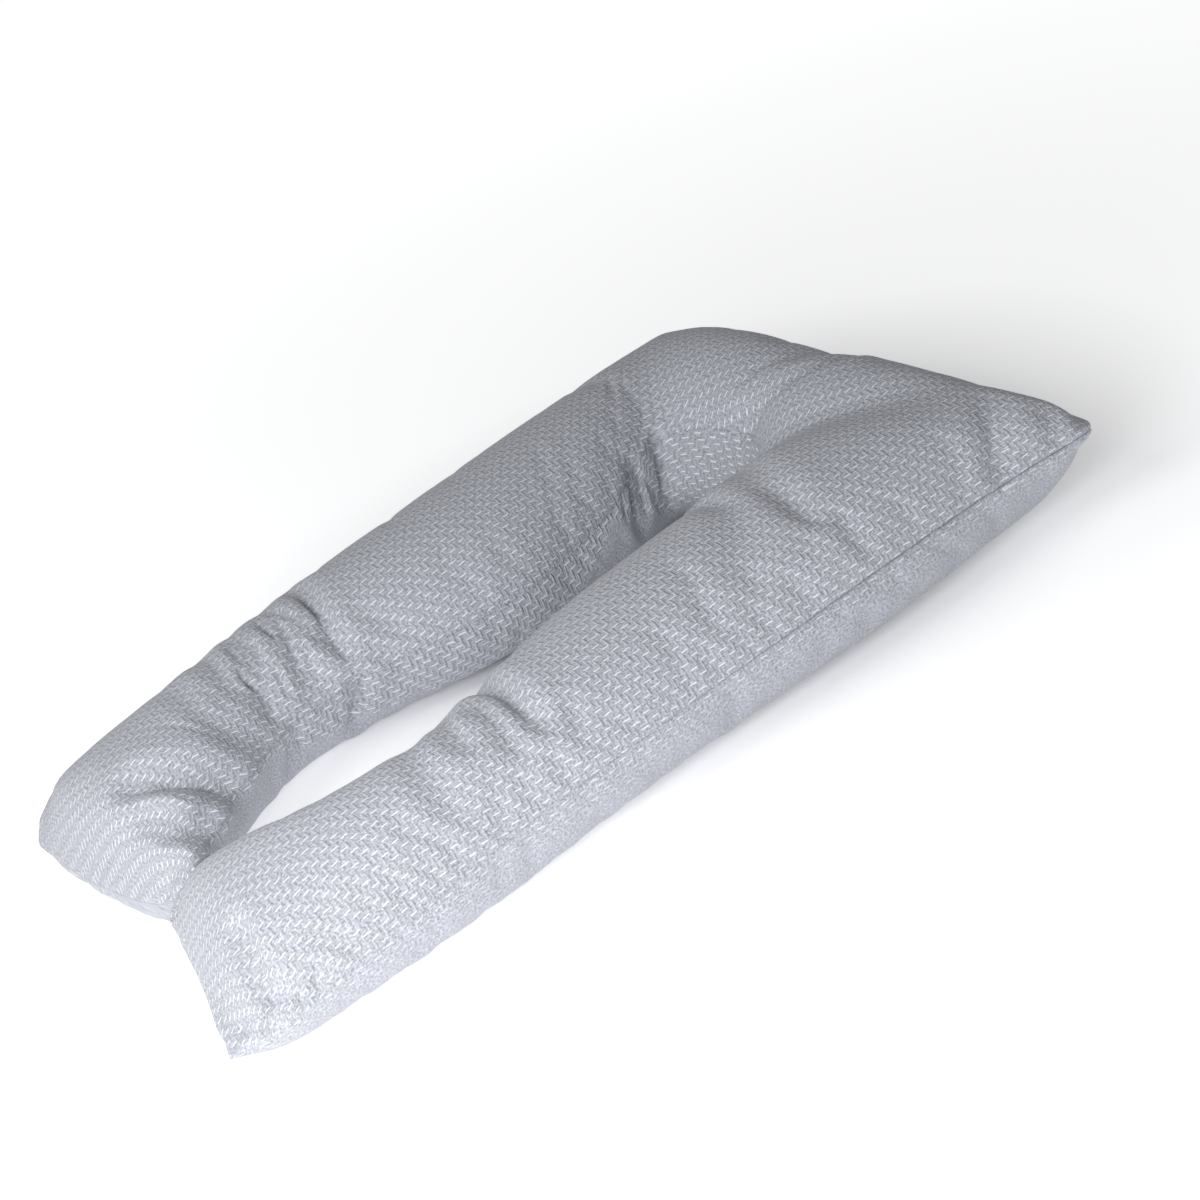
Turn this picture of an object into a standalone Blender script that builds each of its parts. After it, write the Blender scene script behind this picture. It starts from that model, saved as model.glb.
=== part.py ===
# A U-shaped body pillow lying on its back panel: two legs and a closed head, one filled form with
# a single seam round its whole edge, and a small bare tag caught in the seam of one side.
# Metres, +Z up, X across the pillow, +Y towards the head. The floor is Z = 0.
import math

import bmesh
import bpy
import numpy as np
from mathutils import Matrix, Vector

# The pillow is a ladder of ribs, each running from the inner seam of the U to its outer seam, in
# order from the end of the left leg, round the head, to the end of the right leg. "seam_in" and
# "seam_out" are the seam's height above the floor, "crown" the height of the top. "full_in" and
# "taper_out" shape the top panel: under 1 it stands up full from the seam, over 1 it thins out to
# it. "belly_in" and "belly_out" are how far the bottom panel stands out past the seam. "corner"
# marks a rib whose outer end is a corner of the outline. "lift" is the height of the underside.
RIB_COLUMNS = (
    "inner_x", "inner_y", "outer_x", "outer_y", "seam_in", "seam_out", "crown",
    "full_in", "taper_out", "belly_in", "belly_out", "lift", "corner",
)
RIBS = (
    (0.084, -0.543, -0.250, -0.570, 0.064, 0.066, 0.066, 1.0, 1.0, 0.000, 0.000, 0.020, False),
    (0.092, -0.508, -0.282, -0.530, 0.082, 0.085, 0.140, 1.0, 1.0, 0.000, 0.005, 0.004, False),
    (0.062, -0.452, -0.296, -0.460, 0.092, 0.092, 0.168, 1.0, 1.0, 0.000, 0.005, 0.000, False),
    (-0.018, -0.350, -0.301, -0.350, 0.095, 0.095, 0.179, 1.0, 1.0, 0.000, 0.005, 0.000, False),
    (-0.072, -0.240, -0.315, -0.235, 0.095, 0.098, 0.177, 1.0, 1.0, 0.005, 0.005, 0.000, False),
    (-0.082, -0.120, -0.334, -0.110, 0.095, 0.100, 0.182, 1.0, 1.0, 0.012, 0.005, 0.000, False),
    (-0.060, 0.000, -0.352, 0.020, 0.095, 0.100, 0.189, 1.0, 1.0, 0.020, 0.005, 0.000, False),
    (-0.045, 0.100, -0.364, 0.150, 0.095, 0.100, 0.192, 1.0, 1.0, 0.030, 0.005, 0.000, False),
    (-0.060, 0.200, -0.372, 0.280, 0.098, 0.100, 0.192, 1.0, 1.0, 0.045, 0.005, 0.000, False),
    (-0.085, 0.285, -0.378, 0.410, 0.105, 0.100, 0.190, 1.0, 1.0, 0.070, 0.005, 0.000, False),
    (-0.120, 0.355, -0.386, 0.540, 0.120, 0.098, 0.186, 1.0, 1.1, 0.090, 0.000, 0.000, False),
    (-0.135, 0.405, -0.408, 0.652, 0.130, 0.095, 0.188, 1.0, 1.5, 0.095, 0.000, 0.000, True),
    (-0.110, 0.440, -0.270, 0.650, 0.132, 0.095, 0.192, 1.0, 1.1, 0.090, 0.005, 0.000, False),
    (-0.060, 0.458, -0.120, 0.645, 0.132, 0.095, 0.192, 1.0, 1.0, 0.080, 0.010, 0.000, False),
    (-0.005, 0.462, 0.020, 0.643, 0.131, 0.095, 0.184, 1.0, 1.0, 0.065, 0.010, 0.000, False),
    (0.040, 0.448, 0.160, 0.642, 0.127, 0.095, 0.199, 0.8, 1.0, 0.045, 0.010, 0.000, False),
    (0.072, 0.415, 0.300, 0.644, 0.121, 0.095, 0.202, 0.7, 1.1, 0.035, 0.005, 0.000, False),
    (0.092, 0.370, 0.428, 0.656, 0.115, 0.095, 0.202, 0.7, 1.5, 0.030, 0.000, 0.000, True),
    (0.106, 0.310, 0.420, 0.520, 0.110, 0.096, 0.203, 0.8, 1.1, 0.025, 0.012, 0.000, False),
    (0.118, 0.220, 0.420, 0.380, 0.105, 0.098, 0.201, 0.9, 1.0, 0.018, 0.016, 0.000, False),
    (0.128, 0.110, 0.424, 0.230, 0.100, 0.098, 0.198, 1.0, 1.0, 0.010, 0.015, 0.000, False),
    (0.145, 0.000, 0.427, 0.080, 0.098, 0.097, 0.195, 1.0, 1.0, 0.005, 0.012, 0.000, False),
    (0.180, -0.130, 0.430, -0.080, 0.095, 0.096, 0.186, 1.0, 1.0, 0.005, 0.010, 0.000, False),
    (0.215, -0.260, 0.436, -0.240, 0.092, 0.092, 0.175, 1.0, 1.0, 0.000, 0.010, 0.000, False),
    (0.200, -0.370, 0.447, -0.370, 0.092, 0.087, 0.174, 1.0, 1.0, 0.000, 0.010, 0.000, False),
    (0.134, -0.452, 0.450, -0.480, 0.090, 0.078, 0.175, 1.0, 1.0, 0.000, 0.008, 0.000, False),
    (0.091, -0.518, 0.441, -0.575, 0.085, 0.063, 0.148, 1.0, 1.1, 0.000, 0.005, 0.000, False),
    (0.105, -0.572, 0.412, -0.654, 0.075, 0.045, 0.062, 1.0, 1.3, 0.000, 0.000, 0.015, False),
)

# The main folds, each a soft trough pressed into a panel along a line through three points. A point
# is a place along the ladder and a turn across it, 0 at the inner seam and 1 at the outer seam.
FOLD_COLUMNS = (
    "name", "panel", "rib_1", "turn_1", "rib_2", "turn_2", "rib_3", "turn_3", "width", "depth",
)
FOLDS = (
    ("left leg, long crease", "top", 5.10, 0.64, 5.00, 0.40, 4.90, 0.18, 0.024, 0.011),
    ("left leg, second crease", "top", 4.70, 0.62, 4.70, 0.43, 4.80, 0.28, 0.022, 0.006),
    ("left leg, third crease", "top", 4.50, 0.58, 4.50, 0.36, 4.45, 0.16, 0.022, 0.007),
    ("left leg, fourth crease", "top", 4.20, 0.56, 4.05, 0.30, 3.90, 0.12, 0.024, 0.007),
    ("left leg, shallow gather", "top", 3.80, 0.66, 3.75, 0.50, 3.65, 0.33, 0.024, 0.005),
    ("left leg, lower gather", "top", 3.20, 0.56, 3.20, 0.40, 3.25, 0.22, 0.026, 0.004),
    ("left end, upper pinch", "top", 1.95, 0.38, 2.45, 0.27, 2.85, 0.08, 0.032, 0.012),
    ("left end, lower pinch", "top", 1.35, 0.34, 1.75, 0.22, 2.25, 0.06, 0.030, 0.010),
    ("left leg, inner tuck", "low", 4.85, 0.02, 4.75, 0.10, 4.70, 0.18, 0.020, 0.009),
    ("left leg, inner tuck below", "low", 4.05, 0.02, 4.00, 0.08, 3.90, 0.14, 0.020, 0.006),
    ("bend, first pleat", "low", 10.00, 0.01, 9.80, 0.06, 9.60, 0.12, 0.020, 0.012),
    ("bend, second pleat", "low", 11.10, 0.01, 11.00, 0.07, 10.90, 0.13, 0.020, 0.011),
    ("bend, third pleat", "low", 12.90, 0.01, 13.00, 0.08, 13.20, 0.14, 0.020, 0.009),
    ("head, valley to the bend", "top", 13.90, 0.02, 14.60, 0.30, 14.80, 0.56, 0.032, 0.012),
    ("right leg, crease off the bend", "top", 18.30, 0.30, 18.90, 0.47, 19.30, 0.63, 0.032, 0.007),
    ("right leg, soft trough", "top", 19.10, 0.36, 19.60, 0.54, 20.20, 0.70, 0.036, 0.005),
    ("head corner, long crease", "top", 17.10, 0.68, 17.50, 0.76, 17.95, 0.93, 0.024, 0.007),
    ("head corner, short crease", "top", 17.20, 0.82, 17.30, 0.88, 17.40, 0.94, 0.018, 0.006),
    ("right leg, upper neck crease", "top", 22.10, 0.26, 22.25, 0.50, 22.40, 0.68, 0.024, 0.010),
    ("right leg, second neck crease", "top", 22.50, 0.44, 22.58, 0.57, 22.64, 0.70, 0.022, 0.007),
    ("right leg, lower neck crease", "top", 22.65, 0.32, 22.85, 0.48, 22.90, 0.60, 0.024, 0.007),
    ("right leg, long neck trough", "top", 23.00, 0.32, 23.30, 0.55, 23.40, 0.74, 0.028, 0.005),
    ("right end, dent", "top", 26.10, 0.72, 26.05, 0.81, 26.00, 0.90, 0.022, 0.010),
    ("right end, pull to the seam", "top", 25.40, 0.93, 25.70, 0.94, 26.20, 0.95, 0.016, 0.005),
)

STEPS_BETWEEN_RIBS = 3
PANEL_POINTS = 8
FLATNESS = 1.22
SEAM_CREASE = 0.45
SMOOTHING_LEVEL = 1
FOLD_SAMPLES = 17
FLOOR_CLEARANCE = 0.004
SETTLING = 0.5
SEAM_GROOVE_WIDTH = 0.008
SEAM_GROOVE_DEPTH = 0.003

# The tag is a folded ribbon, caught in the right side's seam near the head.
TAG_Y = 0.520
TAG_LENGTH = 0.024
TAG_REACH = 0.008
TAG_THICKNESS = 0.0014
TAG_DROOP = math.radians(28)
TAG_EDGE = 0.0004
SEWN_GAP = 0.0003


def blended(values, place, corners):
    """A smooth curve through a column, read at a place between two ribs, one-sided at a corner."""
    last = len(values) - 1
    index = min(int(place), last - 1)
    share = place - index
    here, there = values[index], values[index + 1]
    step = there - here
    leave = step if index in corners else (there - values[max(index - 1, 0)]) / 2
    arrive = step if index + 1 in corners else (values[min(index + 2, last)] - here) / 2
    square, cube = share ** 2, share ** 3
    return (
        here * (2 * cube - 3 * square + 1) + leave * (cube - 2 * square + share)
        + there * (3 * square - 2 * cube) + arrive * (cube - square)
    )


def rib_at(place):
    """The rib at a place along the ladder, where whole numbers are the rows of the table."""
    columns = {name: [row[i] for row in RIBS] for i, name in enumerate(RIB_COLUMNS)}
    corners = [i for i, is_corner in enumerate(columns.pop("corner")) if is_corner]
    outer = ("outer_x", "outer_y", "taper_out")
    return {
        name: blended(values, place, corners if name in outer else ())
        for name, values in columns.items()
    }


def section_point(rib, turn, is_top):
    """A point of a rib's section. A turn of 0 is the inner seam and 1 the outer seam."""
    share = (1 - math.cos(math.pi * turn)) / 2
    swell = max(math.sin(math.pi * turn), 0.0)
    seam = rib["seam_in"] + (rib["seam_out"] - rib["seam_in"]) * share
    inner = Vector((rib["inner_x"], rib["inner_y"], 0.0))
    across = Vector((rib["outer_x"], rib["outer_y"], 0.0)) - inner
    point = inner + across * share
    outside = share > 0.5
    if is_top:
        point.z = seam + (rib["crown"] - seam) * swell ** rib["taper_out" if outside else "full_in"]
        return point
    rise = swell ** (rib["taper_out"] if outside else 1.0)
    belly = rib["belly_out"] if outside else -rib["belly_in"]
    point += across.normalized() * belly * math.sin(math.pi * rise)
    point.z = seam - (seam - max(rib["lift"], 0.0)) * min(1.0, FLATNESS * rise)
    return point


def pillow_form():
    """The cage of the two panels, sewn together along both sides of the ladder and at its ends."""
    form = bmesh.new()
    crease = form.edges.layers.float.new("crease_edge")
    rib_count = (len(RIBS) - 1) * STEPS_BETWEEN_RIBS + 1
    top_rows, low_rows = [], []
    across = PANEL_POINTS + 1
    for number in range(rib_count):
        rib = rib_at(number / STEPS_BETWEEN_RIBS)
        top = [form.verts.new(section_point(rib, i / across, True)) for i in range(across + 1)]
        low = list(top)
        if 0 < number < rib_count - 1:
            low[1:-1] = [form.verts.new(section_point(rib, i / across, False)) for i in range(1, across)]
        top_rows.append(top)
        low_rows.append(low)
    for rows in (top_rows, low_rows):
        for row, following in zip(rows, rows[1:]):
            for i in range(across):
                form.faces.new((row[i], following[i], following[i + 1], row[i + 1]))
    bmesh.ops.recalc_face_normals(form, faces=form.faces[:])
    inner = [row[0] for row in top_rows]
    outer = [row[-1] for row in reversed(top_rows)]
    seam = inner + top_rows[-1][1:-1] + outer + top_rows[0][-2:0:-1]
    for start, end in zip(seam, seam[1:] + seam[:1]):
        form.edges.get((start, end))[crease] = SEAM_CREASE
    mesh = bpy.data.meshes.new("pillow")
    form.to_mesh(mesh)
    form.free()
    return mesh


def fold_path(fold):
    """Points on the cage along a fold's line, a parabola through its three points."""
    is_top = fold["panel"] == "top"
    path = []
    for number in range(FOLD_SAMPLES):
        share = number / (FOLD_SAMPLES - 1)
        weights = ((1 - share) * (1 - 2 * share), 4 * share * (1 - share), share * (2 * share - 1))
        place = sum(weight * fold[f"rib_{i + 1}"] for i, weight in enumerate(weights))
        turn = sum(weight * fold[f"turn_{i + 1}"] for i, weight in enumerate(weights))
        path.append(section_point(rib_at(place), turn, is_top))
    return path


def press(mesh, path, width, depth):
    """Presses a trough into the mesh along a path, its lips a little raised as cloth's are."""
    points = np.array([vertex.co for vertex in mesh.vertices])
    away = np.min([np.linalg.norm(points - np.array(place), axis=1) for place in path], axis=0)
    spread = (away / width) ** 2
    sink = depth * (1 - spread) * np.exp(-spread)
    for index in np.flatnonzero(away < 3 * width):
        vertex = mesh.vertices[index]
        if vertex.co.z < FLOOR_CLEARANCE:
            continue
        vertex.co = vertex.co - vertex.normal * float(sink[index])
        vertex.co.z = max(vertex.co.z, 0.0)


def seam_path():
    """Points all along both sides of the ladder, where the two panels are sewn together."""
    places = [i / (2 * STEPS_BETWEEN_RIBS) for i in range((len(RIBS) - 1) * 2 * STEPS_BETWEEN_RIBS + 1)]
    return [section_point(rib_at(place), turn, True) for place in places for turn in (0, 1)]


def settle(mesh):
    """Evens the pressed panels a little, as filling does, away from the seam and the flat underside."""
    form = bmesh.new()
    form.from_mesh(mesh)
    crease = form.edges.layers.float["crease_edge"]
    loose = [
        vertex for vertex in form.verts
        if vertex.co.z > FLOOR_CLEARANCE and not any(edge[crease] > 0 for edge in vertex.link_edges)
    ]
    bmesh.ops.smooth_vert(
        form, verts=loose, factor=SETTLING, use_axis_x=True, use_axis_y=True, use_axis_z=True,
    )
    form.to_mesh(mesh)
    form.free()


def centre(mesh):
    """Moves the mesh along the floor until the origin is under the middle of its box."""
    points = np.array([vertex.co for vertex in mesh.vertices])
    middle = (points.min(axis=0) + points.max(axis=0)) / 2
    mesh.transform(Matrix.Translation((-middle[0], -middle[1], 0.0)))


def linked(name, mesh, collection):
    made = bpy.data.objects.new(name, mesh)
    collection.objects.link(made)
    return made


def finish(name, colour, roughness):
    material = bpy.data.materials.new(name)
    material.use_nodes = True
    shader = material.node_tree.nodes["Principled BSDF"]
    shader.inputs["Base Color"].default_value = (*colour, 1.0)
    shader.inputs["Roughness"].default_value = roughness
    shader.inputs["Metallic"].default_value = 0.0
    return material


def make_pillow(collection):
    """The cage, smoothed, with its folds and its seam pressed in, over the origin."""
    cage = linked("pillow cage", pillow_form(), collection)
    smoothing = cage.modifiers.new("Soft form", "SUBSURF")
    smoothing.levels = SMOOTHING_LEVEL
    smoothing.render_levels = SMOOTHING_LEVEL
    bpy.context.view_layer.update()
    soft = cage.evaluated_get(bpy.context.evaluated_depsgraph_get())
    mesh = bpy.data.meshes.new_from_object(soft)
    bpy.data.objects.remove(cage)
    mesh.name = "pillow"
    for row in FOLDS:
        fold = dict(zip(FOLD_COLUMNS, row))
        press(mesh, fold_path(fold), fold["width"], fold["depth"])
    settle(mesh)
    press(mesh, seam_path(), SEAM_GROOVE_WIDTH, SEAM_GROOVE_DEPTH)
    centre(mesh)
    mesh.shade_smooth()
    pillow = linked("pillow", mesh, collection)
    mesh.materials.append(finish("grey_knit", (0.37, 0.38, 0.43), 0.9))
    return pillow


def seam_reach(pillow, y, height):
    """How far out in X the seam lies at a place on the right side."""
    found, where, _, _ = pillow.ray_cast(Vector((1.0, y, height)), Vector((-1.0, 0.0, 0.0)))
    return where.x if found else 0.0


def make_tag(pillow, collection):
    """A flat folded ribbon, its root just clear of the seam and its free edge drooping."""
    height = min(
        (vertex.co for vertex in pillow.data.vertices if vertex.co.x > 0.38),
        key=lambda point: (Vector((point.y, point.z)) - Vector((TAG_Y, 0.095))).length,
    ).z
    ends = (TAG_Y - TAG_LENGTH / 2, TAG_Y, TAG_Y + TAG_LENGTH / 2)
    root = max(seam_reach(pillow, y, height) for y in ends)
    root += SEWN_GAP + TAG_THICKNESS / 2 * math.sin(TAG_DROOP)
    bpy.ops.mesh.primitive_cube_add(size=1.0)
    tag = bpy.context.object
    tag.name = "side_tag"
    tag.data.name = "side_tag"
    tag.data.transform(Matrix.Diagonal((TAG_REACH, TAG_LENGTH, TAG_THICKNESS, 1.0)))
    tag.data.transform(Matrix.Translation((TAG_REACH / 2, 0.0, 0.0)))
    tag.rotation_euler = (0.0, TAG_DROOP, 0.0)
    tag.location = (root, TAG_Y, height)
    edge = tag.modifiers.new("Soft edge", "BEVEL")
    edge.width = TAG_EDGE
    edge.segments = 2
    tag.data.materials.append(finish("white_ribbon", (0.82, 0.82, 0.84), 0.7))
    for holder in tag.users_collection:
        holder.objects.unlink(tag)
    collection.objects.link(tag)
    return tag


for leftover in list(bpy.data.objects):
    bpy.data.objects.remove(leftover)
parts = bpy.data.collections.new("Body pillow")
bpy.context.scene.collection.children.link(parts)
make_tag(make_pillow(parts), parts)
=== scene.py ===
import math

import bmesh
import bpy
import numpy as np
from mathutils import Matrix, Vector


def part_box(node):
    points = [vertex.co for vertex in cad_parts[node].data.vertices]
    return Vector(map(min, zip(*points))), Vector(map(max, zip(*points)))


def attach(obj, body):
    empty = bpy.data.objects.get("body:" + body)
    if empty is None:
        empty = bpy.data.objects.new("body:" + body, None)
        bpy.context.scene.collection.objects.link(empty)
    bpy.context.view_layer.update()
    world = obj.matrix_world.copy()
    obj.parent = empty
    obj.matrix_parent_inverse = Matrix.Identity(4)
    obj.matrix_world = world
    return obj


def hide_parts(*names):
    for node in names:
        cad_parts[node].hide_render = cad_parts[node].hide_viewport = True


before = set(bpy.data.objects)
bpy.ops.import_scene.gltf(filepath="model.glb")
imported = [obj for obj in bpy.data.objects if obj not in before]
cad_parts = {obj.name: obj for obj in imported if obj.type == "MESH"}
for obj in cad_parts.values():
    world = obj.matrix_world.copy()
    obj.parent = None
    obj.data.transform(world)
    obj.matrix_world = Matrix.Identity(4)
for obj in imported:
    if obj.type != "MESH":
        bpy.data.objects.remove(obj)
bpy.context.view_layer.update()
scene = bpy.context.scene
scene.view_settings.view_transform = "Standard"
print("frame loaded:", sorted(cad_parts))

tiny = 1e-9  # keeps a division away from zero
noiseMiddle = 0.5  # what a noise texture averages


# A shader socket that takes part in sums: each operator adds the Math node that works it out.
class Wire:
    def __init__(self, tree, socket=None):
        self.tree = tree
        self.socket = socket

    # Any node: its settings go first, then its inputs by name or number, and one output comes back.
    def node(self, kind, settings, inputs, output=0):
        made = self.tree.nodes.new(kind)
        for name, value in settings.items():
            if name == "stops":
                self.setStops(made.color_ramp, value)
            else:
                setattr(made, name, value)
        for name, value in inputs.items():
            socket = made.inputs[name] if isinstance(name, int) else self.shown(made.inputs, name)
            if isinstance(value, Wire):
                self.tree.links.new(value.socket, socket)
            else:
                socket.default_value = value
        picked = made.outputs[output] if isinstance(output, int) else self.shown(made.outputs, output)
        return Wire(self.tree, picked)

    def shown(self, sockets, name):
        return next(socket for socket in sockets if socket.name == name and socket.enabled)

    def setStops(self, ramp, stops):
        while len(ramp.elements) < len(stops):
            ramp.elements.new(0.5)
        for element, (place, colour) in zip(ramp.elements, stops):
            element.position = place
            element.color = (*colour, 1.0)

    # Sends this wire to a socket of the shader.
    def feed(self, socket):
        self.tree.links.new(self.socket, socket)

    def maths(self, operation, *values):
        return self.node("ShaderNodeMath", {"operation": operation}, dict(enumerate(values)))

    def __add__(self, other):
        return self.maths("ADD", self, other)

    def __radd__(self, other):
        return self.maths("ADD", other, self)

    def __sub__(self, other):
        return self.maths("SUBTRACT", self, other)

    def __rsub__(self, other):
        return self.maths("SUBTRACT", other, self)

    def __mul__(self, other):
        return self.maths("MULTIPLY", self, other)

    def __rmul__(self, other):
        return self.maths("MULTIPLY", other, self)

    def __truediv__(self, other):
        return self.maths("DIVIDE", self, other)

    def __rtruediv__(self, other):
        return self.maths("DIVIDE", other, self)

    def __mod__(self, other):
        return self.maths("WRAP", self, other, 0.0)

    def __rmod__(self, other):
        return self.maths("WRAP", other, self, 0.0)

    def __gt__(self, other):
        return self.maths("GREATER_THAN", self, other)

    # What Python asks for when a number stands before the >.
    def __lt__(self, other):
        return self.maths("LESS_THAN", self, other)

    def __abs__(self):
        return self.maths("ABSOLUTE", self)

    # 1 at zero, falling smoothly to 0 at that width.
    def bump(self, width):
        ways = {"interpolation_type": "SMOOTHSTEP"}
        ends = {"Value": abs(self), "From Min": 0.0, "From Max": width, "To Min": 1.0, "To Max": 0.0}
        return self.node("ShaderNodeMapRange", ways, ends)


def noiseAt(start, place, scale, detail):
    return start.node("ShaderNodeTexNoise", {}, {"Vector": place, "Scale": scale, "Detail": detail})


# What writeCloth has written on the mesh under a name.
def written(start, name, output):
    return start.node("ShaderNodeAttribute", {"attribute_name": name}, {}, output)


# The three parts of a vector.
def split(start, vector):
    first = start.node("ShaderNodeSeparateXYZ", {}, {0: vector})
    return [Wire(start.tree, output) for output in first.socket.node.outputs]


def scaled(start, vector, factors):
    ways = {"operation": "MULTIPLY"}
    return start.node("ShaderNodeVectorMath", ways, {0: vector, 1: factors}, "Vector")


# A colour mix, where either colour may be a wire or three numbers.
def mix(start, factor, below, above, blend="MIX"):
    colours = {"Factor": factor}
    for name, colour in (("A", below), ("B", above)):
        colours[name] = colour if isinstance(colour, Wire) else (*colour, 1.0)
    return start.node("ShaderNodeMix", {"data_type": "RGBA", "blend_type": blend}, colours, "Result")


def relief(start, height, strength, distance):
    inputs = {"Strength": strength, "Distance": distance, "Height": height}
    return start.node("ShaderNodeBump", {}, inputs, "Normal")


# A new material, with its shader and a wire that starts its nodes.
def newFinish(name, roughness):
    material = bpy.data.materials.new(name)
    material.use_nodes = True
    shader = material.node_tree.nodes["Principled BSDF"]
    shader.inputs["Roughness"].default_value = roughness
    return material, shader, Wire(material.node_tree)


# Angles in degrees, lens and sensor in millimetres, the rest in metres. The picture is square.
camera = {
    "azimuth": 63.08, "elevation": 25.26, "roll": 21.50,
    "aim": (0.0721, 0.1115, 0.100), "distance": 4.0, "lens": 97.07, "sensor": 36.0,
}


def makeCamera(view):
    azimuth, elevation, roll = (math.radians(view[name]) for name in ("azimuth", "elevation", "roll"))
    ahead = Vector((
        -math.sin(azimuth) * math.cos(elevation), math.cos(azimuth) * math.cos(elevation),
        -math.sin(elevation),
    ))
    level = Vector((math.cos(azimuth), math.sin(azimuth), 0.0))
    upright = level.cross(ahead)
    right = math.cos(roll) * level - math.sin(roll) * upright
    up = math.sin(roll) * level + math.cos(roll) * upright
    eye = bpy.data.cameras.new("camera")
    eye.sensor_width = view["sensor"]
    eye.lens = view["lens"]
    holder = bpy.data.objects.new("camera", eye)
    holder.matrix_world = (
        Matrix.Translation(Vector(view["aim"]) - view["distance"] * ahead)
        @ Matrix((right, up, -ahead)).transposed().to_4x4()
    )
    scene.collection.objects.link(holder)
    scene.camera = holder


makeCamera(camera)
print("camera placed")

# The studio: a pale floor that glows except near the bend of the pillow, a dim room and two broad
# soft lights, one past the leg ends and one low on the right side. Each glow stop is a share of the
# reach from the glow's centre, and the strength there. A light stands at an azimuth from +X and an
# elevation, in degrees, round the aim. Metres and watts.
studio = {
    "floorSize": 40.0, "floorColour": (0.93, 0.93, 0.935), "floorRoughness": 0.9,
    "floorGlow": 0.80, "glowCentre": (-0.03, 0.30, 0.0), "glowReach": 2.5,
    "glowStops": (
        (0.10, (0.02,) * 3), (0.23, (0.52,) * 3), (0.32, (0.68,) * 3), (1.0, (1.0,) * 3),
    ),
    "roomColour": (0.97, 0.98, 1.0), "roomStrength": 0.21,
    "lightAim": (0.0, 0.0, 0.1),
    "lights": {
        "end light": {"azimuth": 272, "elevation": 46, "distance": 2.3, "size": 1.4, "power": 22.0,
                      "colour": (0.98, 0.99, 1.0)},
        "side light": {"azimuth": 318, "elevation": 23, "distance": 2.1, "size": 1.1, "power": 28.0,
                       "colour": (0.98, 0.99, 1.0)},
    },
}


def makeStudio(sizes):
    bpy.ops.mesh.primitive_plane_add(size=sizes["floorSize"])
    floor = bpy.context.object
    floor.name = "floor"
    floor.data.materials.append(floorFinish(sizes))
    world = bpy.data.worlds.new("room")
    world.use_nodes = True
    background = world.node_tree.nodes["Background"]
    background.inputs["Color"].default_value = (*sizes["roomColour"], 1.0)
    background.inputs["Strength"].default_value = sizes["roomStrength"]
    scene.world = world
    for name, light in sizes["lights"].items():
        addLight(name, light, Vector(sizes["lightAim"]))


def floorFinish(sizes):
    material, shader, start = newFinish("pale floor", sizes["floorRoughness"])
    shader.inputs["Base Color"].default_value = (*sizes["floorColour"], 1.0)
    place = start.node("ShaderNodeNewGeometry", {}, {}, "Position")
    away = start.node(
        "ShaderNodeVectorMath", {"operation": "DISTANCE"}, {0: place, 1: sizes["glowCentre"]}, "Value")
    colour = start.node(
        "ShaderNodeValToRGB", {"stops": sizes["glowStops"]}, {"Fac": away / sizes["glowReach"]}, "Color")
    colour.feed(shader.inputs["Emission Color"])
    shader.inputs["Emission Strength"].default_value = sizes["floorGlow"]
    return material


def addLight(name, light, aim):
    azimuth, elevation = math.radians(light["azimuth"]), math.radians(light["elevation"])
    away = Vector((
        math.cos(azimuth) * math.cos(elevation), math.sin(azimuth) * math.cos(elevation),
        math.sin(elevation),
    ))
    lamp = bpy.data.lights.new(name, "AREA")
    lamp.shape = "SQUARE"
    lamp.size = light["size"]
    lamp.energy = light["power"]
    lamp.color = light["colour"]
    holder = bpy.data.objects.new(name, lamp)
    holder.matrix_world = (
        Matrix.Translation(aim + light["distance"] * away)
        @ away.to_track_quat("Z", "Y").to_matrix().to_4x4()
    )
    holder.visible_camera = False
    scene.collection.objects.link(holder)


makeStudio(studio)
print("studio lit")

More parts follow.
